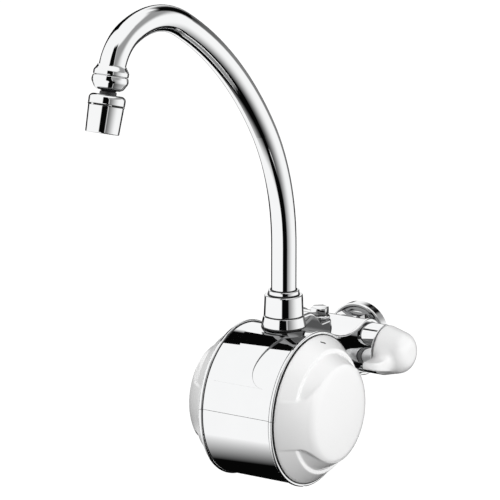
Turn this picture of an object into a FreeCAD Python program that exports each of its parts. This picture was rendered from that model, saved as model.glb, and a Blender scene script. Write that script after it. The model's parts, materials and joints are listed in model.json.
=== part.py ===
import FreeCAD, Part
import math
import os

# Wall-mounted electric instant water heater tap. All sizes are millimetres and degrees.
# The wall is the plane Y = 0 and the room lies at -Y, +X is the lever's side, +Z is up.
# The origin is the middle of the water inlet at the wall.

V = FreeCAD.Vector
os.makedirs("parts", exist_ok=True)

# Placing
wall_to_barrel = 120.3
wall_to_valve = 43.3
inlet_above_barrel = 27.0
valve_above_barrel = 29.6
spout_behind_barrel = 8.6

# Fits
press_gap = 0.02
running_gap = 0.08
loose_gap = 0.3

# Shells
barrel_radius = 58.2
valve_radius = 21.6
saddle_radius = 50.0
throat_radius = 10.0
shell_half_width = 31.8
shell_wall = 2.5
bead_width = 2.8
bead_proud = 1.2
bead_rim = 2.2
side_recess = 1.4
seam_gap = 0.3
seam_height = 4.4
tongue_rise = 1.6
tongue_middle = -2.0
tongue_waist = 8.9
tongue_waist_drop = 18.5
tongue_upper_radius = 24.3
tongue_upper_swing = 46.0
tongue_lower_radius = 12.5
ridge_half_width = 8.6
ridge_front_height = 63.2
ridge_back_height = 51.2
ridge_slope = 13.0
post_radius = 5.0

# End caps
cap_rim_height = 2.2
cap_length = 27.1
cap_wall = 2.5
cap_cone = 10.8
cap_ledge = 2.4
cap_disc_radius = 44.4
cap_dome = 2.0
cap_shoulder = 9.0
band_top = 20.0
band_bottom = -19.0

# Spout
tube_radius = 9.4
tube_wall = 2.0
spout_straight = 118.8
bend_one = (166.6, 34.1)
bend_two = (296.2, 27.9)
bend_three = (78.0, 49.0)
bend_four = (33.8, 53.1)
nut_skirt_radius = 16.7
nut_top_radius = 14.2
nut_skirt_height = 8.6
nut_body_height = 15.6
nut_lift = 0.4
neck_floor_lift = 3.8
neck_shoulder_width = 3.2
neck_shoulder_height = 1.6
neck_radius = 11.8
bush_radius = 11.6
bush_height = 3.2
ring_section = 0.6

# Aerator, lengths along its own axis from the ball's centre
ball_radius = 9.0
ball_below_tube = 7.0
stem_waist = 4.6
cup_radius = 12.7
cup_bottom = 6.7
cup_mouth = 7.0
ring_radius = 12.35
cap_start = 9.8
cap_end = 16.7
head_radius = 12.85
sleeve_end = 36.5
sleeve_top_radius = 12.5
sleeve_low_radius = 11.75

# Valve and lever
collar_end = 46.3
collar_radius = 18.9
lever_start = 46.8
lever_end = 70.0
hub_radius = 19.5
hub_end_radius = 13.6
hub_rounding = 11.0
sweep_hub_radius = 15.0
paddle_reach = 33.6
paddle_drop = 3.9
paddle_half_thickness = 2.9
paddle_sweep = 12.0
core_radius = 15.0
cartridge_radius = 11.0
stem_radius = 5.0
spline_radius = 4.0
disc_thickness = 3.0

# Flow adjuster
knob_behind_spout = 50.5
knob_across_flats = 12.0
knob_flange_radius = 7.7
knob_flange_height = 2.0
knob_hex_height = 7.0
knob_stem_radius = 3.8
needle_radius = 2.5

# Inlet, half-inch pipe thread
thread_radius = 10.478
thread_length = 15.0
flange_radius = 23.9
flange_depth = 8.6
flange_wall = 2.0
union_flats = 35.0
union_length = 11.6
union_thread_radius = 13.0
inlet_bore = 7.0

# Heating tank and switch
tank_clearance = 20.2
tank_radius = barrel_radius - tank_clearance
tank_wall = 3.0
tank_right = 26.0
flange_width = 5.0
flange_thickness = 4.0
diaphragm_thickness = 2.0
diaphragm_right = -10.0
switch_depth = 22.0
coil_clearance = 18.0
coil_radius = tank_radius - coil_clearance
coil_wire = 1.1
coil_pitch = 3.6
coil_turns = 5
contact_travel = 2.5


def spot(x, y, z):
    """A point given from the middle of the barrel's axis."""
    return V(x, y - wall_to_barrel, z - inlet_above_barrel)


def axis_line(point, direction):
    """An axis as a point, its unit direction and a unit direction square to it."""
    along = V(direction)
    along.normalize()
    helper = V(1, 0, 0)
    if abs(along.x) > 0.9:
        helper = V(0, 0, 1)
    side = along.cross(helper)
    side.normalize()
    return point, along, side


def outline(corners, place):
    """A closed wire through corners (u, v) or (u, v, radius), put in space by place(u, v)."""
    joints = []
    count = len(corners)
    for index in range(count):
        here = corners[index]
        before = corners[index - 1]
        after = corners[(index + 1) % count]
        radius = here[2] if len(here) > 2 else 0.0
        if radius == 0.0:
            joints.append((here[:2], None, here[:2]))
            continue
        to_before = (before[0] - here[0], before[1] - here[1])
        to_after = (after[0] - here[0], after[1] - here[1])
        size_before = math.hypot(*to_before)
        size_after = math.hypot(*to_after)
        a = (to_before[0] / size_before, to_before[1] / size_before)
        b = (to_after[0] / size_after, to_after[1] / size_after)
        half = math.acos(a[0] * b[0] + a[1] * b[1]) / 2.0
        reach = radius / math.tan(half)
        middle = (a[0] + b[0], a[1] + b[1])
        size_middle = math.hypot(*middle)
        depth = radius / math.sin(half) - radius
        start = (here[0] + a[0] * reach, here[1] + a[1] * reach)
        end = (here[0] + b[0] * reach, here[1] + b[1] * reach)
        crown = (here[0] + middle[0] / size_middle * depth, here[1] + middle[1] / size_middle * depth)
        joints.append((start, crown, end))
    edges = []
    for index in range(count):
        start, crown, end = joints[index]
        if crown is not None:
            edges.append(Part.Arc(place(*start), place(*crown), place(*end)).toShape())
        following = joints[(index + 1) % count][0]
        if math.hypot(following[0] - end[0], following[1] - end[1]) > 1e-6:
            edges.append(Part.makeLine(place(*end), place(*following)))
    return Part.Wire(edges)


def turned(axis, corners):
    """A round piece: corners are (length along the axis, radius) with an optional corner radius."""
    point, along, side = axis

    def place(u, v):
        return point + along * u + side * v

    return Part.Face(outline(corners, place)).revolve(point, along, 360)


def rod(axis, radius, start, end):
    point, along, side = axis
    return Part.makeCylinder(radius, end - start, point + along * start, along)


def tube(axis, outer, inner, start, end):
    return rod(axis, outer, start, end).cut(rod(axis, inner, start - 1.0, end + 1.0))


def ring(axis, at, ring_radius_, section):
    point, along, side = axis
    return Part.makeTorus(ring_radius_, section, point + along * at, along)


def ball(axis, at, radius):
    point, along, side = axis
    return Part.makeSphere(radius, point + along * at)


def hexagon(axis, across_flats, start, end, turn=0.0):
    point, along, side = axis
    other = along.cross(side)
    corner = across_flats / math.sqrt(3.0)
    points = []
    for index in range(7):
        angle = math.radians(60.0 * index + turn)
        points.append(point + along * start + side * (corner * math.cos(angle))
                      + other * (corner * math.sin(angle)))
    return Part.Face(Part.makePolygon(points)).extrude(along * (end - start))


def block(low, high):
    """A box between two points given from the middle of the barrel's axis."""
    size = V(*high) - V(*low)
    return Part.makeBox(size.x, size.y, size.z, spot(*low))


def together(*shapes):
    whole = shapes[0]
    for shape in shapes[1:]:
        whole = whole.fuse(shape)
    return whole.removeSplitter()


def less(shape, *cutters):
    for cutter in cutters:
        shape = shape.cut(cutter)
    return shape


def mirrored(shape):
    return shape.mirror(V(0, 0, 0), V(1, 0, 0))


def turned_about(shape, axis, angle):
    copy = shape.copy()
    copy.rotate(axis[0], axis[1], angle)
    return copy


def coil(axis, radius, wire, pitch, turns, start):
    """A wound wire: half turns that meet smoothly, swept with a round section."""
    point, along, side = axis
    other = along.cross(side)

    def at(half_turns):
        angle = math.pi * half_turns
        lift = start + pitch * half_turns / 2.0
        return point + along * lift + side * (radius * math.cos(angle)) + other * (radius * math.sin(angle))

    edges = []
    for half_turn in range(2 * turns):
        edges.append(Part.Arc(at(half_turn), at(half_turn + 0.5), at(half_turn + 1)).toShape())
    section = Part.Wire(Part.makeCircle(wire, at(0), other))
    return Part.Wire(edges).makePipeShell([section], True, False)


def save(name, shape):
    solids = shape.Solids
    whole = solids[0] if len(solids) == 1 else Part.makeCompound(solids)
    whole.exportStep("parts/" + name + ".step")
    box = whole.BoundBox
    print(name, len(solids), whole.isValid(), round(whole.Volume, 1),
          [round(box.XMin, 1), round(box.XMax, 1)],
          [round(box.YMin, 1), round(box.YMax, 1)],
          [round(box.ZMin, 1), round(box.ZMax, 1)])


# Axes of the object
valve_y = wall_to_barrel - wall_to_valve
valve_z = valve_above_barrel
barrel = axis_line(spot(0, 0, 0), V(1, 0, 0))
valve = axis_line(spot(0, valve_y, valve_z), V(1, 0, 0))
inlet = axis_line(V(0, 0, 0), V(0, 1, 0))
knob_y = spout_behind_barrel + knob_behind_spout
riser = axis_line(spot(0, spout_behind_barrel, 0), V(0, 0, 1))
knob = axis_line(spot(0, knob_y, 0), V(0, 0, 1))
feed = axis_line(spot(0, valve_y, valve_z), V(0, -valve_y, -valve_z))
feed_reach = math.hypot(valve_y, valve_z)
crest = barrel_radius - bead_proud
inner_inset = bead_proud + shell_wall
side_face = shell_half_width - side_recess
cavity_half = side_face - shell_wall
far_out = barrel_radius + feed_reach


# The shells' side view: the barrel's circle and the valve housing's circle, joined by two hollows
def crossing(first, second, sign):
    """Where circles round the barrel and the valve axis cross, as (y, z) from the barrel's axis."""
    along = (first ** 2 - second ** 2 + feed_reach ** 2) / (2.0 * feed_reach)
    off = sign * math.sqrt(first ** 2 - along ** 2)
    uy = valve_y / feed_reach
    uz = valve_z / feed_reach
    return (along * uy - off * uz, along * uz + off * uy)


def toward(start, goal, distance):
    gap = math.hypot(goal[0] - start[0], goal[1] - start[1])
    share = distance / gap
    return (start[0] + (goal[0] - start[0]) * share, start[1] + (goal[1] - start[1]) * share)


saddle = crossing(barrel_radius + saddle_radius, valve_radius + saddle_radius, 1.0)
throat = crossing(barrel_radius + throat_radius, valve_radius + throat_radius, -1.0)


def saddle_height(y, inset):
    return saddle[1] - math.sqrt((saddle_radius + inset) ** 2 - (y - saddle[0]) ** 2)


def shell_slice(inset, low_x, high_x):
    """The side view, drawn in by inset, as a block from low_x to high_x."""
    big = barrel_radius - inset
    small = valve_radius - inset
    middle = (0.0, 0.0)
    boss = (valve_y, valve_z)
    one = toward(middle, saddle, big)
    two = toward(boss, saddle, small)
    three = toward(boss, throat, small)
    four = toward(middle, throat, big)
    upper = toward(saddle, ((one[0] + two[0]) / 2, (one[1] + two[1]) / 2), saddle_radius + inset)
    lower = toward(throat, ((three[0] + four[0]) / 2, (three[1] + four[1]) / 2), throat_radius + inset)
    far = toward(boss, middle, -small)

    def place(at):
        return spot(low_x, at[0], at[1])

    edges = [
        Part.Arc(place(four), place((-big, 0.0)), place(one)).toShape(),
        Part.Arc(place(one), place(upper), place(two)).toShape(),
        Part.Arc(place(two), place(far), place(three)).toShape(),
        Part.Arc(place(three), place(lower), place(four)).toShape(),
    ]
    return Part.Face(Part.Wire(edges)).extrude(V(high_x - low_x, 0, 0))


# Upper and lower shell
def edges_at_x(shape, *levels):
    found = []
    for edge in shape.Edges:
        box = edge.BoundBox
        for level in levels:
            if abs(box.XMin - level) < 1e-4 and abs(box.XMax - level) < 1e-4:
                found.append(edge)
    return found


bead_start = shell_half_width - bead_width
right_bead = shell_slice(0.0, bead_start, shell_half_width)
right_bead = right_bead.makeFillet(1.0, edges_at_x(right_bead, bead_start, shell_half_width))
skin = shell_slice(bead_proud, -shell_half_width + 0.5, shell_half_width - 0.5)

# The raised tongue on the front: a cylinder lifted off the barrel inside a waisted outline
lift_angle = math.radians(110.0)
lift_y = -tongue_rise * math.cos(lift_angle)
lift_z = tongue_rise * math.sin(lift_angle)
lifted = axis_line(spot(0, lift_y, lift_z), V(1, 0, 0))
tongue_waist_height = crest - tongue_waist_drop
upper_swing = math.radians(tongue_upper_swing)


def waist_point(radius, angle, side):
    x = tongue_waist + radius - radius * math.cos(angle)
    z = tongue_waist_height + radius * math.sin(angle)
    return spot(tongue_middle + side * x, -barrel_radius - 8.0, z)


def waist_edges(side):
    upper = [waist_point(tongue_upper_radius, upper_swing * share, side) for share in (1.0, 0.5, 0.0)]
    lower = [waist_point(tongue_lower_radius, -math.pi / 2 * share, side) for share in (0.0, 0.5, 1.0)]
    return Part.Arc(*upper).toShape(), Part.Arc(*lower).toShape(), upper[0], lower[2]


right_upper, right_lower, right_top, right_foot = waist_edges(1.0)
left_upper, left_lower, left_top, left_foot = waist_edges(-1.0)
tongue_wire = Part.Wire(Part.__sortEdges__([
    right_upper, right_lower, left_upper, left_lower,
    Part.makeLine(right_top, left_top), Part.makeLine(right_foot, left_foot),
]))
tongue_prism = Part.Face(tongue_wire).extrude(V(0, barrel_radius, 0))
tongue = tongue_prism.common(rod(lifted, crest, -bead_start, bead_start))

# The ridge that runs back from the spout and carries the flow adjuster
ridge_foot = ridge_back_height - 10.0
ridge_front = spout_behind_barrel + 6.0
ridge_plan = Part.Wire([
    Part.makeLine(spot(-ridge_half_width, ridge_front, ridge_foot),
                  spot(-ridge_half_width, knob_y, ridge_foot)),
    Part.Arc(spot(-ridge_half_width, knob_y, ridge_foot),
             spot(0, knob_y + ridge_half_width, ridge_foot),
             spot(ridge_half_width, knob_y, ridge_foot)).toShape(),
    Part.makeLine(spot(ridge_half_width, knob_y, ridge_foot),
                  spot(ridge_half_width, ridge_front, ridge_foot)),
    Part.makeLine(spot(ridge_half_width, ridge_front, ridge_foot),
                  spot(-ridge_half_width, ridge_front, ridge_foot)),
])
ridge_block = Part.Face(ridge_plan).extrude(V(0, 0, 40.0))


def ridge_place(u, v):
    return spot(-ridge_half_width - 2.0, u, v)


ridge_level = knob_y - knob_flange_radius - 2.2
ridge_side = [
    (ridge_front - 1.0, ridge_foot - 1.0),
    (ridge_front - 1.0, ridge_front_height),
    (ridge_level - ridge_slope, ridge_front_height, 14.0),
    (ridge_level, ridge_back_height, 5.0),
    (knob_y + 14.0, ridge_back_height),
    (knob_y + 14.0, ridge_foot - 1.0),
]
ridge_shape = Part.Face(outline(ridge_side, ridge_place)).extrude(V(2 * ridge_half_width + 4.0, 0, 0))
ridge = ridge_block.common(ridge_shape).removeSplitter()
ridge_rims = []
for edge in ridge.Edges:
    middle = edge.valueAt((edge.FirstParameter + edge.LastParameter) / 2.0)
    high = middle.z + inlet_above_barrel > ridge_back_height - 1e-3
    upright = edge.BoundBox.ZLength > 10.0
    across = abs(middle.x) < 0.1 and middle.y < spot(0, knob_y, 0).y
    if high and not upright and not across:
        ridge_rims.append(edge)
ridge = ridge.makeFillet(2.0, ridge_rims)

neck_boss_radius = neck_radius + 2.0
nut_bottom = crest + nut_lift
neck_boss = turned(riser, [
    (crest - 6.0, 0.0),
    (crest - 6.0, neck_boss_radius),
    (nut_bottom - loose_gap, neck_boss_radius),
    (nut_bottom - loose_gap, 0.0),
])
nut_room = rod(riser, nut_skirt_radius + 0.6, nut_bottom - loose_gap, nut_bottom + 30.0)

whole_shell = together(skin, right_bead, mirrored(right_bead),
                       tongue.cut(nut_room), ridge.cut(nut_room), neck_boss)
cavity = shell_slice(inner_inset, -cavity_half, cavity_half)
end_recess = shell_slice(bead_rim, side_face, shell_half_width + 5.0)
cap_opening_radius = barrel_radius - bead_rim - 3.0
opening = rod(barrel, cap_opening_radius, -shell_half_width - 5.0, shell_half_width + 5.0)
whole_shell = less(whole_shell, cavity, end_recess, mirrored(end_recess), opening)

gland_head_radius = 12.8
valve_hole = rod(valve, gland_head_radius + 0.4, cavity_half - 1.0, side_face + 1.0)
inlet_hole = rod(inlet, union_thread_radius + 0.5, -wall_to_valve, -wall_to_valve + valve_radius + 2.0)
neck_hole = rod(riser, neck_radius + 0.2, crest - 10.0, nut_bottom + 5.0)
knob_hole = rod(knob, knob_stem_radius + 0.4, ridge_foot - 8.0, ridge_back_height + 5.0)

half_gap = seam_gap / 2.0
above = block((-far_out, -far_out, seam_height + half_gap), (far_out, far_out, far_out))
below = block((-far_out, -far_out, -far_out), (far_out, far_out, seam_height - half_gap))
upper_shell = less(whole_shell.common(above), valve_hole, inlet_hole, neck_hole, knob_hole)

post_x = 20.0
post_y = crest - shell_wall - post_radius + 0.5
screw_radius = 1.75
screw_head_radius = 3.2
screw_head_height = 2.4
screw_reach = 10.0
screw_seat = -14.0
inside = shell_slice(bead_proud + 0.6, -cavity_half - 1.0, cavity_half + 1.0)
upper_posts = []
lower_posts = []
screws = []
post_holes = []
head_holes = []
for x in (-post_x, post_x):
    line = axis_line(spot(x, post_y, seam_height), V(0, 0, 1))
    wall_x = math.copysign(cavity_half + 0.5, x)
    web = block((min(x, wall_x), cap_opening_radius + 1.0, seam_height + half_gap),
                (max(x, wall_x), post_y + post_radius, seam_height + screw_reach + 3.0))
    upper_posts.append(together(rod(line, post_radius, half_gap, screw_reach + 3.0), web).common(inside))
    lower_posts.append(rod(line, post_radius, -24.0, -half_gap).common(inside))
    post_holes.append(rod(line, screw_radius + press_gap, screw_seat - 1.0, screw_reach + 0.5))
    head_holes.append(rod(line, screw_head_radius + loose_gap, -45.0, screw_seat))
    screws.append(together(rod(line, screw_radius, screw_seat - 1.0, screw_reach),
                           rod(line, screw_head_radius, screw_seat - screw_head_height, screw_seat)))
upper_shell = less(together(upper_shell, *upper_posts), *post_holes)

# Two hooks on the lower shell's front lip reach up behind the upper shell
hooks = []
for x in (-post_x, post_x):
    hook = block((x - 5.0, -crest + shell_wall + loose_gap, seam_height - 5.0),
                 (x + 5.0, -crest + 8.0, seam_height + 5.0))
    foot = block((x - 5.0, -crest + 0.8, seam_height - 5.0), (x + 5.0, -crest + 8.0, seam_height - 1.5))
    hooks.append(together(hook.common(shell_slice(inner_inset + loose_gap, -cavity_half, cavity_half)),
                          foot.common(inside)))

# Cable entry low at the back, and a notch in the right bead's underside to lever the cap off
cable_angle = math.radians(-27.0)
cable = axis_line(spot(0, 0, 0), V(0, math.cos(cable_angle), math.sin(cable_angle)))
grommet_groove = 5.0
grommet_bore = 3.2
cable_hole = rod(cable, grommet_groove + 0.1, crest - 12.0, crest + 6.0)
lower_shell = together(whole_shell.common(below), *lower_posts, *hooks)
notch = turned_about(block((bead_start + 0.6, -1.6, -barrel_radius - 2.0),
                           (shell_half_width + 1.0, 1.6, -barrel_radius + 1.2)), barrel, -12.0)
lower_shell = less(lower_shell, *post_holes, *head_holes, cable_hole, notch)
save("upper_shell", upper_shell)
save("lower_shell", lower_shell)
save("shell_screws", Part.makeCompound(screws))
save("cable_grommet", less(turned(cable, [
    (crest - shell_wall - 3.0, 0.0),
    (crest - shell_wall - 3.0, grommet_groove + 1.6),
    (crest - shell_wall - 0.9, grommet_groove + 1.6),
    (crest - shell_wall - 0.9, grommet_groove),
    (crest + 0.3, grommet_groove),
    (crest + 0.3, grommet_groove + 2.0),
    (crest + 2.6, grommet_groove + 1.0),
    (crest + 2.6, 0.0),
]), rod(cable, grommet_bore, crest - 12.0, crest + 8.0)))

# End caps: a recessed dome, with a full dome over a band across its middle, hollow inside
cap_rim = barrel_radius - bead_rim - loose_gap
rim_top = side_face + cap_rim_height
cap_apex = side_face + cap_length
spigot_radius = cap_opening_radius - loose_gap
cone_end = rim_top + cap_cone
dome_edge = cap_apex - cap_dome
recessed = turned(barrel, [
    (side_face, 0.0),
    (side_face, cap_rim),
    (rim_top, cap_rim, 0.8),
    (cone_end, cap_disc_radius + cap_ledge, 0.7),
    (cone_end + 0.6, cap_disc_radius, 0.6),
    (dome_edge, cap_disc_radius - 0.4, cap_shoulder),
    (cap_apex, 0.0),
])
full = turned(barrel, [
    (side_face, 0.0),
    (side_face, cap_rim),
    (rim_top, cap_rim, 0.8),
    (cone_end + 2.2, (cap_rim + cap_disc_radius + cap_ledge) / 2.0, 15.0),
    (dome_edge, cap_disc_radius - 6.8, 15.0),
    (cap_apex, 0.0),
])
band = block((0, -far_out, band_bottom), (far_out, far_out, band_top))
hollow = turned(barrel, [
    (side_face - 6.0, 0.0),
    (side_face - 6.0, spigot_radius - cap_wall),
    (rim_top + 0.5, spigot_radius - cap_wall, 2.0),
    (cone_end - 0.5, cap_disc_radius - cap_wall, 2.0),
    (dome_edge - cap_wall, cap_disc_radius - 0.4 - cap_wall, cap_shoulder - cap_wall),
    (cap_apex - cap_wall, 0.0),
])
spigot = rod(barrel, spigot_radius, side_face - 4.5, side_face + 1.0)
pry_slot = block((rim_top + 4.6, 0.4, cap_rim - 6.5), (rim_top + 5.5, 5.6, cap_rim + 2.0))
right_cap = less(together(recessed, full.common(band), spigot), hollow, pry_slot)
save("right_cap", right_cap)
save("left_cap", mirrored(right_cap))

# Wall inlet
union_back = -flange_depth - 0.5
union_front = union_back - union_length
tail_lip = 1.7
tail_thickness = 1.6
washer_thickness = 1.4
tail_front = union_back - tail_lip - 0.2 - tail_thickness
spigot_end = tail_front - washer_thickness
tail_radius = thread_radius + 0.4
save("wall_flange", less(turned(inlet, [
    (-flange_depth, tail_radius + loose_gap),
    (-flange_depth, 14.5, 1.0),
    (-flange_depth + 2.2, 17.0, 2.0),
    (-flange_depth + 2.2, flange_radius - 3.4, 0.6),
    (-flange_depth + 0.6, flange_radius - 2.4, 0.5),
    (-flange_depth + 0.6, flange_radius, 1.2),
    (0.0, flange_radius),
    (0.0, flange_radius - flange_wall),
    (-flange_depth + 4.4, flange_radius - flange_wall, 1.0),
    (-flange_depth + 4.4, tail_radius + loose_gap),
])))
save("union_nut", less(
    hexagon(inlet, union_flats, union_front, union_back, 30.0).common(turned(inlet, [
        (union_front, 0.0),
        (union_front, union_flats / 2.0 + 0.4),
        (union_front + 2.0, union_flats / 2.0 + 4.0),
        (union_back - 2.0, union_flats / 2.0 + 4.0),
        (union_back, union_flats / 2.0 + 0.4),
        (union_back, 0.0),
    ])),
    rod(inlet, union_thread_radius + 0.1, union_front - 1.0, union_back - tail_lip),
    rod(inlet, tail_radius + 0.1, union_front - 1.0, union_back + 1.0)))
save("inlet_nipple", less(
    together(rod(inlet, union_thread_radius - 0.3, tail_front, tail_front + tail_thickness),
             rod(inlet, tail_radius, tail_front, 0.0),
             rod(inlet, thread_radius, -1.0, thread_length)),
    rod(inlet, inlet_bore, tail_front - 1.0, thread_length + 1.0),
    rod(inlet, inlet_bore + 1.2, thread_length - 4.0, thread_length + 1.0)))
save("inlet_washer", tube(inlet, union_thread_radius - 0.4, inlet_bore + 1.0, spigot_end, tail_front))
filter_cup = less(
    together(rod(inlet, inlet_bore + 1.1, thread_length - 4.0, thread_length - 2.6),
             rod(inlet, inlet_bore - 0.2, thread_length - 12.0, thread_length - 2.6)),
    rod(inlet, inlet_bore - 1.2, thread_length - 11.0, thread_length))
filter_holes = []
for circle_radius, count in ((0.001, 1), (2.2, 6), (4.2, 12)):
    for index in range(count):
        angle = 2.0 * math.pi * index / count
        hole = axis_line(V(circle_radius * math.cos(angle), 0, circle_radius * math.sin(angle)), V(0, 1, 0))
        filter_holes.append(rod(hole, 0.6, thread_length - 13.0, thread_length - 10.0))
save("inlet_filter", less(filter_cup, *filter_holes))

# Valve body: bore for the cartridge, inlet at the back, feed to the tank, tower for the flow needle
body_left = -22.0
body_right = 27.0
disc_start = -8.0
disc_split = disc_start + disc_thickness
disc_end = disc_split + disc_thickness
bore_radius = cartridge_radius + 0.1
spigot_radius_feed = 7.0
socket_depth = 5.0
tank_boss_reach = tank_radius + 9.0
feed_end = feed_reach - tank_boss_reach + socket_depth
tower_radius = 6.0
tower_foot = valve_z - (valve_y - knob_y) * valve_z / valve_y + 0.5
tower_rim = [saddle_height(knob_y + shift, inner_inset) for shift in (-tower_radius, 0.0, tower_radius)]
tower_top = min(tower_rim) - loose_gap
tower_bore = knob_stem_radius + running_gap
behind_valve = wall_to_valve + spigot_end
inlet_channel = axis_line(spot(1.0, valve_y + core_radius + 2.0, valve_z), V(-13.0, -core_radius, 0))
valve_body = together(
    rod(valve, core_radius, body_left, body_right),
    rod(inlet, union_thread_radius, -wall_to_valve, spigot_end),
    rod(feed, spigot_radius_feed, 0.0, feed_end),
    rod(knob, tower_radius, tower_foot, tower_top))
valve_body = less(
    valve_body,
    rod(valve, bore_radius, disc_end, body_right + 1.0),
    rod(valve, bore_radius - 1.0, disc_start, disc_end + 1.0),
    rod(valve, 8.0, body_left + 3.0, disc_start + 1.0),
    rod(inlet, inlet_bore, -wall_to_valve + core_radius + 1.0, spigot_end + 1.0),
    rod(inlet_channel, 3.5, 0.0, 20.0),
    rod(feed, 4.5, 6.0, feed_end + 1.0),
    rod(knob, tower_bore, tower_foot, tower_top + 1.0),
    rod(knob, tower_bore + 1.35, tower_top - 1.6, tower_top + 1.0))
feed_groove_at = feed_end - 2.6
valve_body = less(valve_body, tube(feed, spigot_radius_feed + 1.0, spigot_radius_feed - 1.15,
                                   feed_groove_at - 0.75, feed_groove_at + 0.75))
save("valve_body", valve_body)
save("feed_o_ring", ring(feed, feed_groove_at, spigot_radius_feed - 0.52, ring_section))
save("knob_o_ring", ring(knob, tower_top - 0.8, tower_bore + 0.68, ring_section))

port = block((-30, valve_y - 2.2, valve_z - 20.0), (30, valve_y + 2.2, valve_z + 20.0))
disc_blank = rod(valve, bore_radius - 1.1, disc_start + 0.02, disc_split)
disc_ports = tube(valve, 7.0, 3.0, disc_start - 1.0, disc_end + 1.0).common(port)
save("fixed_disc", disc_blank.cut(disc_ports))
moving_blank = rod(valve, bore_radius - 1.3, disc_split + 0.05, disc_end - 0.05)
save("moving_disc", moving_blank.cut(turned_about(disc_ports, valve, 90.0)))
cartridge_end = 19.0
neck_end = 38.0
gland_start = 19.2
drive_end = 4.0
window = axis_line(spot(4.0, valve_y, valve_z), V(0, -valve_y, -valve_z))
save("valve_cartridge", less(
    together(rod(valve, cartridge_radius, disc_end + 0.02, cartridge_end),
             rod(valve, 7.8, cartridge_end - 1.0, neck_end)),
    rod(valve, cartridge_radius - 1.8, disc_end - 1.0, 10.0),
    rod(valve, stem_radius + running_gap, 0.0, neck_end + 1.0),
    rod(window, 4.0, 4.0, 20.0)))
save("gland_nut", less(
    together(rod(valve, cartridge_radius, gland_start, body_right + 1.0),
             hexagon(valve, gland_head_radius * math.sqrt(3.0), body_right + 0.2, body_right + 6.0)),
    rod(valve, 8.0, gland_start - 1.0, body_right + 8.0)))
spline_end = lever_end - 8.0
save("valve_stem", together(
    rod(valve, cartridge_radius - 2.1, disc_end + 0.05, drive_end),
    rod(valve, stem_radius, drive_end - 1.0, lever_start + 1.0),
    rod(valve, spline_radius, lever_start, spline_end)))
save("lever_collar", less(turned(valve, [
    (side_face, gland_head_radius + 0.6),
    (side_face, collar_radius),
    (collar_end, collar_radius, 0.8),
    (collar_end, stem_radius + running_gap),
    (collar_end - 2.5, stem_radius + running_gap),
    (collar_end - 2.5, gland_head_radius + 0.6),
])))

# Lever: a round hub with a forward paddle whose top runs up into the hub in one hollow sweep
tip_f = paddle_reach
tip_z = -paddle_drop
top_z = tip_z + paddle_half_thickness
sweep_z = top_z + paddle_sweep
sweep_f = math.sqrt((sweep_hub_radius + paddle_sweep) ** 2 - sweep_z ** 2)
hub_share = sweep_hub_radius / (sweep_hub_radius + paddle_sweep)
hub_touch = (sweep_f * hub_share, sweep_z * hub_share)
sweep_middle = toward((sweep_f, sweep_z), (hub_touch[0] * 0.5 + sweep_f * 0.5, (hub_touch[1] + top_z) * 0.5),
                      paddle_sweep)
tip_distance = math.hypot(tip_f, tip_z)
tip_bearing = math.atan2(tip_z, tip_f)
tangent = tip_bearing - math.acos((sweep_hub_radius - paddle_half_thickness) / tip_distance)
hub_low = (sweep_hub_radius * math.cos(tangent), sweep_hub_radius * math.sin(tangent))
tip_low = (tip_f + paddle_half_thickness * math.cos(tangent),
           tip_z + paddle_half_thickness * math.sin(tangent))
tip_turn = (tangent + math.pi / 2.0) / 2.0
tip_nose = (tip_f + paddle_half_thickness * math.cos(tip_turn),
            tip_z + paddle_half_thickness * math.sin(tip_turn))
paddle_start = lever_start + 1.2
paddle_end = lever_end - 9.5


def lever_spot(at):
    return spot(paddle_start, valve_y - at[0], valve_z + at[1])


paddle_edges = [
    Part.Arc(lever_spot(hub_touch), lever_spot(sweep_middle), lever_spot((sweep_f, top_z))).toShape(),
    Part.makeLine(lever_spot((sweep_f, top_z)), lever_spot((tip_f, top_z))),
    Part.Arc(lever_spot((tip_f, top_z)), lever_spot(tip_nose), lever_spot(tip_low)).toShape(),
    Part.makeLine(lever_spot(tip_low), lever_spot(hub_low)),
    Part.makeLine(lever_spot(hub_low), lever_spot((0, 0))),
    Part.makeLine(lever_spot((0, 0)), lever_spot(hub_touch)),
]
paddle = Part.Face(Part.Wire(paddle_edges)).extrude(V(paddle_end - paddle_start, 0, 0))


def plan_place(u, v):
    return spot(u, valve_y - v, valve_z - 40.0)


plan = Part.Face(outline([
    (paddle_start, -2.0),
    (paddle_end, -2.0),
    (paddle_end, tip_f + paddle_half_thickness, 9.0),
    (paddle_start, tip_f + paddle_half_thickness, 3.0),
], plan_place)).extrude(V(0, 0, 80.0))
paddle = paddle.common(plan)
hub = turned(valve, [
    (lever_start, 0.0),
    (lever_start, hub_radius, 1.2),
    (lever_end, hub_end_radius, hub_rounding),
    (lever_end, 0.0),
])
grub_x = 56.0
grub = axis_line(spot(grub_x, valve_y, valve_z), V(0, 0, -1))
lever = together(hub, paddle)
lever = less(
    lever,
    rod(valve, spline_radius + press_gap, lever_start - 1.0, spline_end + 0.5),
    rod(valve, stem_radius + 0.2, lever_start - 1.0, lever_start + 1.2),
    rod(grub, 2.5 + press_gap, 0.0, hub_radius + 2.0))
save("lever_handle", lever)
save("lever_grub_screw", less(rod(grub, 2.5, spline_radius + 0.05, hub_end_radius),
                              hexagon(grub, 2.5, hub_end_radius - 3.0, hub_radius)))

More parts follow.
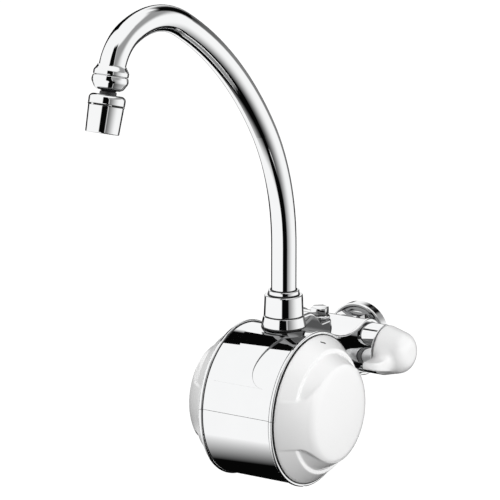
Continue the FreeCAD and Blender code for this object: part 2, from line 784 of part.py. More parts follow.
# Flow adjuster
knob_seat = ridge_back_height + 0.3
knob_flange_top = knob_seat + knob_flange_height
knob_top = knob_flange_top + knob_hex_height
knob_stem_end = tower_top - 8.0
needle_bore = needle_radius + running_gap
hex_body = hexagon(knob, knob_across_flats, knob_flange_top - 0.5, knob_top, 12.0)
hex_form = turned(knob, [
    (knob_flange_top - 1.0, 0.0),
    (knob_flange_top - 1.0, knob_across_flats),
    (knob_top - 3.6, knob_across_flats),
    (knob_top, knob_across_flats / 2.0 - 0.4, 0.5),
    (knob_top, 0.0),
])
save("flow_knob", less(
    together(turned(knob, [
        (knob_seat, 0.0),
        (knob_seat, knob_flange_radius),
        (knob_flange_top, knob_flange_radius - 0.3, 0.6),
        (knob_flange_top, 0.0),
    ]), hex_body.common(hex_form), rod(knob, knob_stem_radius, knob_stem_end, knob_seat + 0.5)),
    rod(knob, needle_bore, knob_stem_end - 1.0, knob_flange_top + 1.0)))
needle_tip = tower_foot - 1.0
save("flow_needle", turned(knob, [
    (needle_tip, 0.0),
    (needle_tip, 0.8),
    (needle_tip + 4.0, needle_radius),
    (knob_flange_top - 3.0, needle_radius),
    (knob_flange_top - 3.0, 0.0),
]))

# Heating tank with its coil, and the pressure switch on its left
diaphragm_left = diaphragm_right - diaphragm_thickness
flange_right = diaphragm_right + flange_thickness
switch_flange = diaphragm_left - flange_thickness
switch_left = diaphragm_left - switch_depth
flange_outer = tank_radius + flange_width
gasket = 1.2
neck_reach = spout_behind_barrel + neck_radius + neck_shoulder_width
neck_shoulder = math.sqrt((crest - shell_wall) ** 2 - neck_reach ** 2) - loose_gap
neck_bottom = neck_shoulder - neck_shoulder_height
tank_boss_top = neck_bottom - gasket
outlet_bore = 6.0
tank = together(
    rod(barrel, tank_radius, diaphragm_right, tank_right),
    rod(barrel, flange_outer, diaphragm_right, flange_right),
    rod(riser, 9.0, 0.0, tank_boss_top),
    rod(feed, spigot_radius_feed + 2.4, feed_reach - tank_boss_reach, feed_reach))
tank_room = rod(barrel, tank_radius - tank_wall, diaphragm_right - 1.0, tank_right - tank_wall)
bolt_radius = 1.5
bolt_circle = (flange_outer + tank_radius) / 2.0
bolt_axes = []
for index in range(6):
    angle = math.radians(60.0 * index + 15.0)
    bolt_spot = spot(0, bolt_circle * math.cos(angle), bolt_circle * math.sin(angle))
    bolt_axes.append(axis_line(bolt_spot, V(1, 0, 0)))
bolt_holes = [rod(line, bolt_radius + press_gap, switch_flange - 1.0, flange_right + 1.0)
              for line in bolt_axes]
stud_radius = 2.5
stud_axes = [axis_line(spot(0, 0, height), V(1, 0, 0)) for height in (-coil_radius - 6.0, coil_radius + 6.0)]
stud_holes = [rod(line, stud_radius + press_gap, 0.0, tank_right + 1.0) for line in stud_axes]
save("heating_tank", less(
    tank, tank_room,
    rod(riser, outlet_bore, tank_radius - tank_wall - 6.0, tank_boss_top + 1.0),
    rod(feed, spigot_radius_feed + 0.1, feed_reach - tank_boss_reach - 1.0, feed_end + 0.2),
    rod(feed, 5.5, feed_end, feed_reach - tank_radius + 8.0),
    *bolt_holes, *stud_holes))
studs = []
for line in stud_axes:
    studs.append(together(rod(line, stud_radius, tank_right - 10.0, tank_right + 7.0),
                          rod(line, stud_radius + 2.0,
                              tank_right - tank_wall - 2.5, tank_right - tank_wall - 0.05),
                          hexagon(line, 8.0, tank_right + 0.05, tank_right + 3.5)))
save("element_studs", Part.makeCompound(studs))
core_left = diaphragm_right + 7.0
core_right = tank_right - tank_wall
fins = []
for index in range(3):
    fin = block((core_left, -coil_radius + coil_wire + 0.3, -1.5),
                (core_right, coil_radius - coil_wire - 0.3, 1.5))
    fins.append(turned_about(fin, barrel, 60.0 * index))
save("element_core", together(rod(barrel, 9.0, core_left, core_right), *fins))
coil_start = core_left + 2.5
save("heating_element", coil(barrel, coil_radius, coil_wire, coil_pitch, coil_turns, coil_start))
save("diaphragm", less(
    together(rod(barrel, flange_outer - 0.3, diaphragm_left, diaphragm_right),
             rod(barrel, 15.0, diaphragm_right - 0.5, diaphragm_right + 1.5)), *bolt_holes))
pin_z = 20.0
pin_radius = 3.0
guide_radius = 4.0
switch_wall = 2.5
pin_axes = [axis_line(spot(0, 0, height), V(1, 0, 0)) for height in (-pin_z, pin_z)]
pin_holes = [rod(line, pin_radius + press_gap, switch_left - 1.0, switch_left + 8.0) for line in pin_axes]
save("contact_housing", less(
    together(rod(barrel, tank_radius - 2.0, switch_left, diaphragm_left),
             rod(barrel, flange_outer, switch_flange, diaphragm_left)).cut(
        rod(barrel, tank_radius - 2.0 - switch_wall, switch_left + switch_wall, diaphragm_left + 1.0)).fuse(
        rod(barrel, guide_radius + 3.0, switch_left + 1.0, switch_left + 10.0)),
    rod(barrel, guide_radius + running_gap, switch_left + switch_wall, diaphragm_left),
    *bolt_holes, *pin_holes))
bolts = []
for line in bolt_axes:
    bolts.append(together(rod(line, bolt_radius, switch_flange - 1.0, flange_right),
                          rod(line, bolt_radius + 0.5, switch_flange - 2.0, switch_flange)))
save("flange_screws", Part.makeCompound(bolts))
slide_right = diaphragm_left - loose_gap
slide_left = slide_right - 4.0
strip_left = slide_left - 1.2
save("contact_carrier", together(rod(barrel, tank_radius - 20.0, slide_left, slide_right),
                                 rod(barrel, guide_radius,
                                     switch_left + switch_wall + 3.6, slide_left + 1.0)))
strip = block((strip_left, -4.5, -pin_z - 4.0), (slide_left, 4.5, pin_z + 4.0))
strip_eye = rod(barrel, 6.4, strip_left, slide_left)
save("contact_bridge", less(together(strip, strip_eye),
                            rod(barrel, guide_radius + press_gap, strip_left - 1.0, slide_left + 1.0)))
pin_right = strip_left - contact_travel - loose_gap
pins = []
for line in pin_axes:
    pins.append(together(rod(line, pin_radius, switch_left - 4.0, pin_right),
                         rod(line, pin_radius + 1.2, pin_right - 1.5, pin_right)))
save("contact_pins", Part.makeCompound(pins))
spring_wire = 0.7
spring_turns = 5
spring_room = strip_left - switch_left - switch_wall - 2 * spring_wire - 0.6
spring = axis_line(spot(0, 0, 0), V(1, 0, 0))
save("return_spring", coil(spring, guide_radius + 5.0, spring_wire, spring_room / spring_turns, spring_turns,
                           switch_left + switch_wall + spring_wire + 0.3))
terminal = block((switch_left - 11.0, -15.0, -6.0), (switch_left - 0.05, 15.0, 6.0))
for y in (-9.0, 0.0, 9.0):
    way = axis_line(spot(switch_left - 5.5, y, 0), V(0, 0, 1))
    terminal = less(terminal, rod(way, 2.0, -10.0, 10.0))
save("terminal_block", terminal)

# Spout: neck on the tank, nut, trim ring and gooseneck tube
neck_floor = nut_bottom + neck_floor_lift
neck_top = nut_bottom + nut_skirt_height + nut_body_height - 4.5
nut_edge = nut_bottom + nut_skirt_height
nut_top = nut_edge + nut_body_height
nut_lid = nut_top - 2.2
neck_bore = tube_radius + running_gap
save("neck_gasket", tube(riser, 8.8, outlet_bore, tank_boss_top, tank_boss_top + gasket))
save("outlet_neck", less(
    together(rod(riser, neck_radius, neck_bottom, neck_top),
             rod(riser, neck_radius + neck_shoulder_width, neck_bottom, neck_shoulder)),
    rod(riser, outlet_bore, tank_boss_top, neck_top),
    rod(riser, neck_bore, neck_floor, neck_top + 1.0)))
save("spout_nut", less(turned(riser, [
    (nut_bottom, 0.0),
    (nut_bottom, nut_skirt_radius - 0.8, 0.4),
    (nut_bottom + 0.8, nut_skirt_radius, 0.4),
    (nut_edge - 0.5, nut_top_radius + 0.95, 0.6),
    (nut_edge - 0.5, nut_top_radius + 0.1),
    (nut_edge + 0.2, nut_top_radius + 0.1),
    (nut_edge + 0.2, nut_top_radius + 0.6, 0.4),
    (nut_top, nut_top_radius, 1.0),
    (nut_top, 0.0),
]), rod(riser, neck_radius + 0.12, nut_bottom - 1.0, nut_lid),
    rod(riser, tube_radius + 1.05, nut_lid, nut_top + 1.0)))
save("spout_bush", less(
    together(rod(riser, tube_radius + 1.0, nut_lid + 0.2, nut_top + 1.0),
             turned(riser, [
                 (nut_top + 0.4, 0.0),
                 (nut_top + 0.4, bush_radius, 0.6),
                 (nut_top + 0.4 + bush_height, bush_radius, 0.8),
                 (nut_top + 0.4 + bush_height, 0.0),
             ])),
    rod(riser, tube_radius + running_gap, nut_lid, nut_top + bush_height + 2.0)))

spout_foot = neck_floor + loose_gap
spout_start = spot(0, spout_behind_barrel, spout_foot)
centre_line = [Part.makeLine(spout_start, spot(0, spout_behind_barrel, spout_straight))]
here_y = spout_behind_barrel
here_z = spout_straight
heading = 0.0
for bend_radius, bend_angle in (bend_one, bend_two, bend_three, bend_four):
    centre_y = here_y - bend_radius * math.cos(heading)
    centre_z = here_z - bend_radius * math.sin(heading)
    stops = []
    for share in (0.0, 0.5, 1.0):
        angle = heading + math.radians(bend_angle) * share
        stops.append((centre_y + bend_radius * math.cos(angle), centre_z + bend_radius * math.sin(angle)))
    points = [spot(0, y, z) for y, z in stops]
    centre_line.append(Part.Arc(*points).toShape())
    here_y, here_z = stops[2]
    heading = heading + math.radians(bend_angle)
path = Part.Wire(centre_line)
tube_ring = Part.Wire(Part.makeCircle(tube_radius, spout_start, V(0, 0, 1)))
outer_tube = path.makePipeShell([tube_ring], True, False)
bore_ring = Part.Wire(Part.makeCircle(tube_radius - tube_wall, spout_start, V(0, 0, 1)))
inner_tube = path.makePipeShell([bore_ring], True, False)
spout = outer_tube.cut(inner_tube)
groove_floor = tube_radius - 2 * ring_section
groove_heights = (spout_foot + 3.5, spout_foot + 8.0)
for height in groove_heights:
    spout = spout.cut(tube(riser, tube_radius + 1.0, groove_floor - 0.05, height - 0.8, height + 0.8))
clip_low = neck_top + 0.4
clip_high = clip_low + 1.4
spout = spout.cut(tube(riser, tube_radius + 1.0, tube_radius - 0.5, clip_low, clip_high))
save("spout_tube", spout)
save("spout_o_rings", Part.makeCompound([ring(riser, height, tube_radius - ring_section + 0.02, ring_section)
                                         for height in groove_heights]))
clip_mouth = block((-6.0, spout_behind_barrel, clip_low - 1.0),
                   (6.0, spout_behind_barrel + 2.0 * tube_radius, clip_high + 1.0))
save("spout_clip", tube(riser, tube_radius + 1.8, tube_radius - 0.5, clip_low, clip_high).cut(clip_mouth))

# Aerator on its ball joint, along the way the tube's end points
way_out = V(0, -math.sin(heading), math.cos(heading))
ball_centre = spot(0, here_y, here_z) + way_out * ball_below_tube
stream = axis_line(ball_centre, way_out)
print("ball centre", [round(value, 3) for value in ball_centre],
      "way out", [round(value, 6) for value in way_out])
socket = ball_radius + running_gap
ring_top = -ball_below_tube
ring_low = ring_top + 3.7
spigot_low = 0.5
seat_room = socket + 0.7
last_bend = centre_line[-1]
bend_start = last_bend.valueAt(last_bend.FirstParameter)
bend_way = last_bend.tangentAt(last_bend.FirstParameter)
tube_room = Part.Wire([last_bend]).makePipeShell(
    [Part.Wire(Part.makeCircle(tube_radius + press_gap, bend_start, bend_way))], True, False)
save("socket_ring", less(turned(stream, [
    (ring_top - 3.4, tube_radius - tube_wall),
    (ring_top - 3.4, tube_radius + 0.7),
    (ring_top - 2.6, tube_radius + 0.9, 2.0),
    (ring_top - 0.2, ring_radius - 0.5, 0.8),
    (ring_top + 0.8, ring_radius, 0.8),
    (ring_low, ring_radius, 0.7),
    (ring_low, cup_radius - 1.9),
    (spigot_low, cup_radius - 1.9),
    (spigot_low, seat_room),
    (ring_top + 1.2, seat_room),
    (ring_top + 1.2, tube_radius - tube_wall),
]), tube_room))
cup_top = ring_low + 0.3
mouth_at = math.sqrt(socket ** 2 - cup_mouth ** 2)
save("socket_cup", less(turned(stream, [
    (cup_top, 0.0),
    (cup_top, cup_radius - 0.4, 0.8),
    (cup_top + 3.6, cup_radius + 0.35, 4.0),
    (cup_bottom - 1.2, cup_radius - 2.6, 3.0),
    (cup_bottom, cup_mouth + 0.9, 0.3),
    (cup_bottom, 0.0),
]), rod(stream, cup_radius - 1.8, cup_top - 1.0, spigot_low + 0.1), ball(stream, 0.0, socket),
    turned(stream, [(mouth_at - 2.0, 0.0), (mouth_at - 2.0, cup_mouth), (mouth_at, cup_mouth),
                    (cup_bottom + 1.0, cup_mouth + 0.9), (cup_bottom + 1.0, 0.0)])))
save("ball_seat", less(rod(stream, seat_room - running_gap, ring_top + 1.4, -2.6),
                       ball(stream, 0.0, socket), rod(stream, 5.0, ring_top, 0.0)))
ball_top = -6.0
hub_end = cap_end - 1.9
hub_radius_head = 5.4
save("swivel_ball", less(
    together(ball(stream, 0.0, ball_radius).cut(rod(stream, 12.0, -20.0, ball_top)),
             rod(stream, stem_waist, 5.0, cap_start),
             turned(stream, [(cap_start - 2.2, 0.0), (cap_start - 2.2, 5.9, 0.5),
                             (cap_start, 5.9), (cap_start, 0.0)]),
             rod(stream, hub_radius_head, cap_start - 0.5, hub_end)),
    rod(stream, 3.2, -20.0, 30.0)))
save("aerator_cap", less(turned(stream, [
    (cap_start, 0.0),
    (cap_start, head_radius, 3.2),
    (cap_end, head_radius - 0.05, 0.5),
    (cap_end, 0.0),
]), rod(stream, hub_radius_head + press_gap, 0.0, hub_end + 0.1),
    rod(stream, head_radius - 1.8, hub_end - 1.4, cap_end + 1.0)))
sleeve_top = cap_end + 0.9
save("aerator_sleeve", less(
    together(turned(stream, [
        (sleeve_top, 0.0),
        (sleeve_top, sleeve_top_radius, 0.4),
        (sleeve_end, sleeve_low_radius, 0.7),
        (sleeve_end, 0.0),
    ]), rod(stream, head_radius - 1.9, hub_end - 0.2, sleeve_top + 0.5)),
    rod(stream, sleeve_low_radius - 1.9, hub_end - 2.0, sleeve_end + 1.0)))
insert_holes = []
for circle_radius, count in ((0.001, 1), (2.3, 6), (4.6, 12), (6.9, 18)):
    for index in range(count):
        angle = 2.0 * math.pi * index / count
        shift = stream[2] * (circle_radius * math.cos(angle))
        shift = shift + stream[1].cross(stream[2]) * (circle_radius * math.sin(angle))
        insert_holes.append(rod(axis_line(ball_centre + shift, way_out), 0.8, sleeve_end - 6.0, sleeve_end))
save("aerator_insert", less(
    rod(stream, sleeve_low_radius - 2.0, hub_end + 2.0, sleeve_end - 1.2),
    rod(stream, sleeve_low_radius - 3.4, hub_end + 1.0, sleeve_end - 4.2), *insert_holes))
save("aerator_washer", tube(stream, sleeve_low_radius - 2.0, 6.2, hub_end + 0.5, hub_end + 2.0))
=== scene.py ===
# %% [markdown]
# # A wall tap that heats its own water
# This lesson dresses the CAD model of an electric tap: a chrome barrel with white end covers, a
# gooseneck spout, a ball-jointed aerator and a white lever. The CAD solids are the frame. Each step
# says what a piece is, how it could be made, and why it is made this way here. Lengths are in metres.

# %% Load the frame
import bpy
import bmesh
import json
import math
import numpy as np
from mathutils import Matrix, Vector


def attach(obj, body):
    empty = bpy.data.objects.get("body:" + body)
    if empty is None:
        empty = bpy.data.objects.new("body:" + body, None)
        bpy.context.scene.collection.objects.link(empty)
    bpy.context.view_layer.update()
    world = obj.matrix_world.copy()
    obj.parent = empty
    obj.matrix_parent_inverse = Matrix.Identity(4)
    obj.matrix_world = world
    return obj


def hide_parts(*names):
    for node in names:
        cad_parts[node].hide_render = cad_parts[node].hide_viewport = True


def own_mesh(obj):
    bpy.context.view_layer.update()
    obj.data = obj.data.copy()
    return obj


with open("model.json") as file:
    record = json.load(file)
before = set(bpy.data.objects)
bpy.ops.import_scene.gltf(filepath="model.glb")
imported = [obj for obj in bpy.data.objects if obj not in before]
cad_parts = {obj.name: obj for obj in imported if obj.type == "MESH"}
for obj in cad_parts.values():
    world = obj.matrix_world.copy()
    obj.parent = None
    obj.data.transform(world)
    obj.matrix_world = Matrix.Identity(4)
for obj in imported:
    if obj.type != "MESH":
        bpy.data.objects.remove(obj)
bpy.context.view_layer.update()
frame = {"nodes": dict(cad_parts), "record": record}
nodes = frame["nodes"]

# %% [markdown]
# ## Camera
# The photograph was taken from the right and a little above, from far away, so the two rims of the
# barrel look almost the same size. The viewing angle and distance were found by fitting the rims'
# circles. The camera's axes are built from those angles, and it is then moved sideways and up, so that
# the barrel's middle comes where it is in the picture.

# %% Camera
view_turn = math.radians(32.95)
view_lift = math.radians(14.43)
view_distance = 3.0
focal_pixels = 4035.0
frame_pixels = 500.0
sensor_mm = 36.0
aim_right = 0.020297
aim_up = -0.113383
barrel_middle = Vector((0.0, -0.1203, -0.027))

right = Vector((math.cos(view_turn), math.sin(view_turn), 0.0))
back = Vector((math.sin(view_turn) * math.cos(view_lift),
               -math.cos(view_turn) * math.cos(view_lift), math.sin(view_lift)))
up = back.cross(right)
camera_data = bpy.data.cameras.new("camera")
camera_data.lens = focal_pixels / frame_pixels * sensor_mm
camera_data.sensor_width = sensor_mm
camera_data.clip_end = 100.0
camera = bpy.data.objects.new("camera", camera_data)
bpy.context.scene.collection.objects.link(camera)
place = Matrix((right, up, back)).transposed().to_4x4()
place.translation = barrel_middle + back * view_distance - right * aim_right - up * aim_up
camera.matrix_world = place
bpy.context.scene.camera = camera
bpy.context.scene.view_settings.view_transform = "Standard"
print("camera at", [round(v, 3) for v in place.translation])

# %% [markdown]
# ## Studio
# Polished chrome has no colour of its own: it shows the room. The photograph's hard black and white
# stripes come from a white tent with dark gaps, so the world is such a tent. A place in it is given by
# its bearing, measured from the front towards the lever's side, and its height above the horizon, both
# in degrees. A picture of a studio could do the same, but a tent made of nodes can be fitted stripe by
# stripe. These helpers add nodes to it.

# %% Tent helpers
studio = bpy.data.worlds.new("studio")
bpy.context.scene.world = studio
studio.use_nodes = True
tent = studio.node_tree
tent.nodes.clear()


def tent_node(kind, **settings):
    made = tent.nodes.new(kind)
    for name, value in settings.items():
        setattr(made, name, value)
    return made


def tent_math(operation, first, second=None):
    made = tent_node("ShaderNodeMath", operation=operation)
    for index, value in enumerate((first, second)):
        if value is None:
            continue
        if isinstance(value, (int, float)):
            made.inputs[index].default_value = value
        else:
            tent.links.new(value, made.inputs[index])
    return made.outputs[0]


def tent_ramp(value, low, high, start=0.0, end=1.0):
    """start below low and end above high, with a soft step between."""
    made = tent_node("ShaderNodeMapRange", interpolation_type="SMOOTHSTEP")
    tent.links.new(value, made.inputs["Value"])
    made.inputs["From Min"].default_value = low
    made.inputs["From Max"].default_value = high
    made.inputs["To Min"].default_value = start
    made.inputs["To Max"].default_value = end
    return made.outputs["Result"]


# %% Bearing and height
looking = tent_node("ShaderNodeTexCoord").outputs["Generated"]
parts = tent_node("ShaderNodeSeparateXYZ")
tent.links.new(looking, parts.inputs[0])
toward_front = tent_math("MULTIPLY", parts.outputs["Y"], -1.0)
bearing = tent_math("DEGREES", tent_math("ARCTAN2", parts.outputs["X"], toward_front))
height = tent_math("DEGREES", tent_math("ARCSINE", parts.outputs["Z"]))
print("the tent measures bearing and height with", len(tent.nodes), "nodes")

# %% [markdown]
# ## The tent's cloths
# The tent is white above and dims downwards. Cloths of other brightness hang over it, each with four
# soft edges: a grey one on the lever's side, a white roof, grey ones behind, and then the black gaps.
# The widest gap, in front, gives the dark stripe down the spout, its nut and the aerator. It leans with
# height, to fit that stripe on each of them.

# %% Hang cloths
def panel(across, low_edge, high_edge, bottom, top, soft):
    """1 inside a stretch of the tent, with the softness of its left, right, lower and upper edges."""
    left = tent_ramp(across, low_edge - soft[0], low_edge + soft[0])
    right_side = tent_ramp(across, high_edge - soft[1], high_edge + soft[1])
    low = tent_ramp(height, bottom - soft[2], bottom + soft[2])
    high = tent_ramp(height, top - soft[3], top + soft[3])
    return tent_math("MULTIPLY", tent_math("SUBTRACT", left, right_side), tent_math("SUBTRACT", low, high))


def hang(under, stretch, brightness):
    """Hangs a cloth of one brightness over a stretch of the tent."""
    made = tent_node("ShaderNodeMix", data_type="FLOAT")
    tent.links.new(stretch, made.inputs["Factor"])
    tent.links.new(under, made.inputs["A"])
    if isinstance(brightness, float):
        made.inputs["B"].default_value = brightness
    else:
        tent.links.new(brightness, made.inputs["B"])
    return made.outputs["Result"]


# %% Bright and grey cloths
all_round = 400.0
nadir, zenith = -100.0, 100.0
grey = 0.22
cloth = tent_ramp(height, low=-96.0, high=-54.0, start=0.0, end=1.0)
side_dim = tent_ramp(bearing, low=44.0, high=122.0, start=0.13, end=1.0)
side_cloth = tent_math("MULTIPLY", side_dim, tent_ramp(height, low=-76.0, high=-20.0))
hung_cloths = [
    # low and high bearing, bottom and top, softness of these four edges, brightness
    (52.0, all_round, nadir, zenith, (2.0, 1.0, 1.0, 1.0), side_cloth),
    (55.0, all_round, 17.0, 46.0, (3.0, 1.0, 9.0, 5.0), 0.33),
    (-all_round, all_round, 50.0, zenith, (1.0, 1.0, 5.0, 1.0), 1.0),
    (163.0, all_round, -12.0, 6.0, (4.0, 1.0, 3.0, 3.0), grey),
    (-all_round, -158.0, -12.0, 6.0, (1.0, 8.0, 3.0, 3.0), grey),
]
for low_edge, high_edge, bottom, top, soft, brightness in hung_cloths:
    cloth = hang(cloth, panel(bearing, low_edge, high_edge, bottom, top, soft), brightness)
print("hung", len(hung_cloths), "cloths")

# %% Dark gaps
black = 0.002
lean_in = tent_ramp(height, low=-62.0, high=-26.0, start=-3.0, end=14.0)
lean_back = tent_ramp(height, low=-14.0, high=2.0, start=0.0, end=14.0)
slab_bearing = tent_math("SUBTRACT", bearing, tent_math("SUBTRACT", lean_in, lean_back))
dark_gaps = [
    # the bearing it uses, then low and high bearing, bottom and top, softness of these four edges
    (slab_bearing, 9.0, 49.0, nadir, 58.0, (2.5, 4.0, 1.0, 4.0)),
    (bearing, 165.0, all_round, -45.0, -10.0, (4.0, 1.0, 8.0, 3.0)),
    (bearing, -all_round, -158.0, -45.0, -10.0, (1.0, 10.0, 8.0, 3.0)),
    (bearing, 165.0, all_round, 4.0, 37.0, (4.0, 1.0, 4.0, 4.0)),
    (bearing, -all_round, -158.0, 4.0, 37.0, (1.0, 10.0, 4.0, 4.0)),
    (bearing, -162.0, -99.0, -23.0, 3.0, (6.0, 4.0, 3.0, 4.0)),
]
for dark_gap in dark_gaps:
    cloth = hang(cloth, panel(*dark_gap), black)
print("left", len(dark_gaps), "dark gaps")

# %% [markdown]
# ## Light for each kind of ray
# Only mirror rays see the cloths and gaps. A ray that has met chrome twice sees a darker tent, because
# chrome mirrored in chrome is dark in the photograph. To the camera the tent is plain white, and matte
# surfaces get a soft light that is brighter from above than from below.

# %% Light by the kind of ray
def mix_shaders(tree, share, first, second):
    """The first shader where share is 0 and the second where it is 1."""
    made = tree.nodes.new("ShaderNodeMixShader")
    for index, socket in enumerate((share, first, second)):
        tree.links.new(socket, made.inputs[index])
    return made.outputs[0]


def tent_light(color):
    made = tent_node("ShaderNodeBackground")
    tent.links.new(color, made.inputs["Color"])
    return made.outputs[0]


second_mirror = 1.5
second_mirror_dark = 0.7
soft_from_below, soft_from_above = 0.10, 0.56
ray = tent_node("ShaderNodeLightPath")
twice_mirrored = tent_math("GREATER_THAN", ray.outputs["Glossy Depth"], second_mirror)
cloth = hang(cloth, tent_math("MULTIPLY", twice_mirrored, second_mirror_dark), black)
soft_light = tent_light(tent_ramp(height, low=-15.0, high=60.0, start=soft_from_below, end=soft_from_above))
white_light = tent_node("ShaderNodeBackground")
white_light.inputs["Color"].default_value = (1.0, 1.0, 1.0, 1.0)
off_camera = mix_shaders(tent, ray.outputs["Is Glossy Ray"], soft_light, tent_light(cloth))
all_light = mix_shaders(tent, ray.outputs["Is Camera Ray"], off_camera, white_light.outputs[0])
tent.links.new(all_light, tent_node("ShaderNodeOutputWorld").inputs["Surface"])
print("the studio has", len(tent.nodes), "nodes")

# %% [markdown]
# ## Black cards
# The broad dark band over the barrel's top isn't on the valve housing behind it, so what it mirrors is
# near. A black card in the wall's plane, to the left and above, gives that band, and a black table top
# under the barrel gives the dark band below. Cards of real size give each piece its own reflection of
# them. They are hidden from the camera and from matte surfaces, and each fades out at one edge.

# %% Felt and cards
def felt_paint(name, fade_way, fade_start, fade_length):
    """Black felt, clear below fade_start along fade_way."""
    felt = bpy.data.materials.new(name)
    felt.use_nodes = True
    tree = felt.node_tree
    tree.nodes.clear()
    dark = tree.nodes.new("ShaderNodeEmission")
    dark.inputs["Color"].default_value = (black, black, black, 1.0)
    clear = tree.nodes.new("ShaderNodeBsdfTransparent")
    along = tree.nodes.new("ShaderNodeVectorMath")
    along.operation = "DOT_PRODUCT"
    along.inputs[1].default_value = fade_way
    tree.links.new(tree.nodes.new("ShaderNodeTexCoord").outputs["Object"], along.inputs[0])
    edge = tree.nodes.new("ShaderNodeMapRange")
    edge.inputs["From Min"].default_value = fade_start
    edge.inputs["From Max"].default_value = fade_start + fade_length
    tree.links.new(along.outputs["Value"], edge.inputs["Value"])
    faded = mix_shaders(tree, edge.outputs["Result"], clear.outputs[0], dark.outputs[0])
    tree.links.new(faded, tree.nodes.new("ShaderNodeOutputMaterial").inputs["Surface"])
    return felt


def black_card(name, corners, felt):
    """A felt sheet over some corners, seen only in mirrors."""
    mesh = bpy.data.meshes.new(name)
    sheet = bmesh.new()
    sheet.faces.new([sheet.verts.new(corner) for corner in corners])
    sheet.to_mesh(mesh)
    sheet.free()
    mesh.materials.append(felt)
    made = bpy.data.objects.new(name, mesh)
    bpy.context.scene.collection.objects.link(made)
    made.visible_camera = False
    made.visible_diffuse = False
    made.visible_shadow = False
    made.visible_transmission = False
    print(name, "has", len(corners), "corners")
    return made


# %% Wall card and table card
wall_foot = 0.155
wall_left, wall_left_top = -1.0, 1.46
wall_right, wall_right_top = -0.02, 0.186
wall_corners = [(wall_left, wall_foot), (wall_right, wall_foot), (wall_right, wall_right_top),
                (wall_left, wall_left_top)]
wall_fade = 0.05
wall_felt = felt_paint("black_wall_card_felt", (0.0, 0.0, 1.0), wall_foot, wall_fade)
black_card("black_wall_card", [(across, 0.0, level) for across, level in wall_corners], wall_felt)

table_level = -0.30
table_corners = [(-0.50, 0.70), (-0.345, 0.0), (-0.345, -0.305), (-0.02, -0.565), (0.21, -0.75),
                 (0.21, 0.70)]
table_fade_way = (0.8, 1.0, 0.0)
table_fade_start = -0.58
table_fade = 0.32
table_felt = felt_paint("black_table_card_felt", table_fade_way, table_fade_start, table_fade)
black_card("black_table_card", [(across, along, table_level) for across, along in table_corners], table_felt)

# %% [markdown]
# ## Lamps
# White plastic needs light with a direction, or its covers look flat. Two round lamps, one on each side
# and above, light it. Mirrors don't see them, so they leave no spots on the chrome.

# %% Lamps
lamp_size = 0.9
lamp_target = Vector((0.0, -0.1, 0.0))


def softbox(name, spot, watts):
    """A round lamp that shines at the barrel."""
    data = bpy.data.lights.new(name, "AREA")
    data.shape = "DISK"
    data.size = lamp_size
    data.energy = watts
    lamp = bpy.data.objects.new(name, data)
    lamp.location = spot
    lamp.rotation_mode = "QUATERNION"
    lamp.rotation_quaternion = (lamp_target - Vector(spot)).to_track_quat("-Z", "Y")
    lamp.visible_glossy = False
    bpy.context.scene.collection.objects.link(lamp)
    print(name, "gives", watts, "W")
    return lamp


softbox("side_softbox", (1.5, -0.35, 0.45), watts=19.5)
softbox("left_softbox", (-1.7, -0.35, 0.45), watts=24.0)

# %% [markdown]
# ## Floor
# The tap hangs on a wall and the photograph shows only white round it. A wide pale floor far below
# gives that: the camera sees a pale glow added to its matte paint, which keeps the tap's soft shadow.
# It is see-through from underneath, so no view is blocked.

# %% Floor sheet
floor_half_width = 20.0
floor_level = -0.9
floor_mesh = bpy.data.meshes.new("floor")
floor_shape = bmesh.new()
bmesh.ops.create_grid(floor_shape, x_segments=1, y_segments=1, size=floor_half_width)
bmesh.ops.translate(floor_shape, verts=floor_shape.verts, vec=(0.0, 0.0, floor_level))
floor_shape.to_mesh(floor_mesh)
floor_shape.free()
floor = bpy.data.objects.new("floor", floor_mesh)
bpy.context.scene.collection.objects.link(floor)
floor.visible_glossy = False
print("floor at", floor_level, "m")

# %% Floor paint
glow_level = 0.94
matte_level = 0.25
floor_paint = bpy.data.materials.new("pale_floor")
floor_paint.use_nodes = True
paint = floor_paint.node_tree
paint.nodes.clear()
glow = paint.nodes.new("ShaderNodeEmission")
glow.inputs["Color"].default_value = (glow_level, glow_level, glow_level, 1.0)
matte = paint.nodes.new("ShaderNodeBsdfDiffuse")
matte.inputs["Color"].default_value = (matte_level, matte_level, matte_level, 1.0)
clear = paint.nodes.new("ShaderNodeBsdfTransparent")
path = paint.nodes.new("ShaderNodeLightPath")
facing = paint.nodes.new("ShaderNodeNewGeometry")
both = paint.nodes.new("ShaderNodeAddShader")
paint.links.new(glow.outputs[0], both.inputs[0])
paint.links.new(matte.outputs[0], both.inputs[1])
by_ray = mix_shaders(paint, path.outputs["Is Camera Ray"], matte.outputs[0], both.outputs[0])
by_side = mix_shaders(paint, facing.outputs["Backfacing"], by_ray, clear.outputs[0])
paint.links.new(by_side, paint.nodes.new("ShaderNodeOutputMaterial").inputs["Surface"])
floor_mesh.materials.append(floor_paint)
print("floor painted with", len(paint.nodes), "nodes")

# %% [markdown]
# ## Finishes
# Every finish is a Principled shader with a little unevenness from noise in Object coordinates:
# plated metal has faint polishing haze, moulded plastic a slight waviness, rubber a fine grain. The
# noise stays small, because a real tap is new and clean, but it keeps large faces from looking dead.

# %% Finish helper
coat_roughness = 0.08
bump_distance = 0.0002


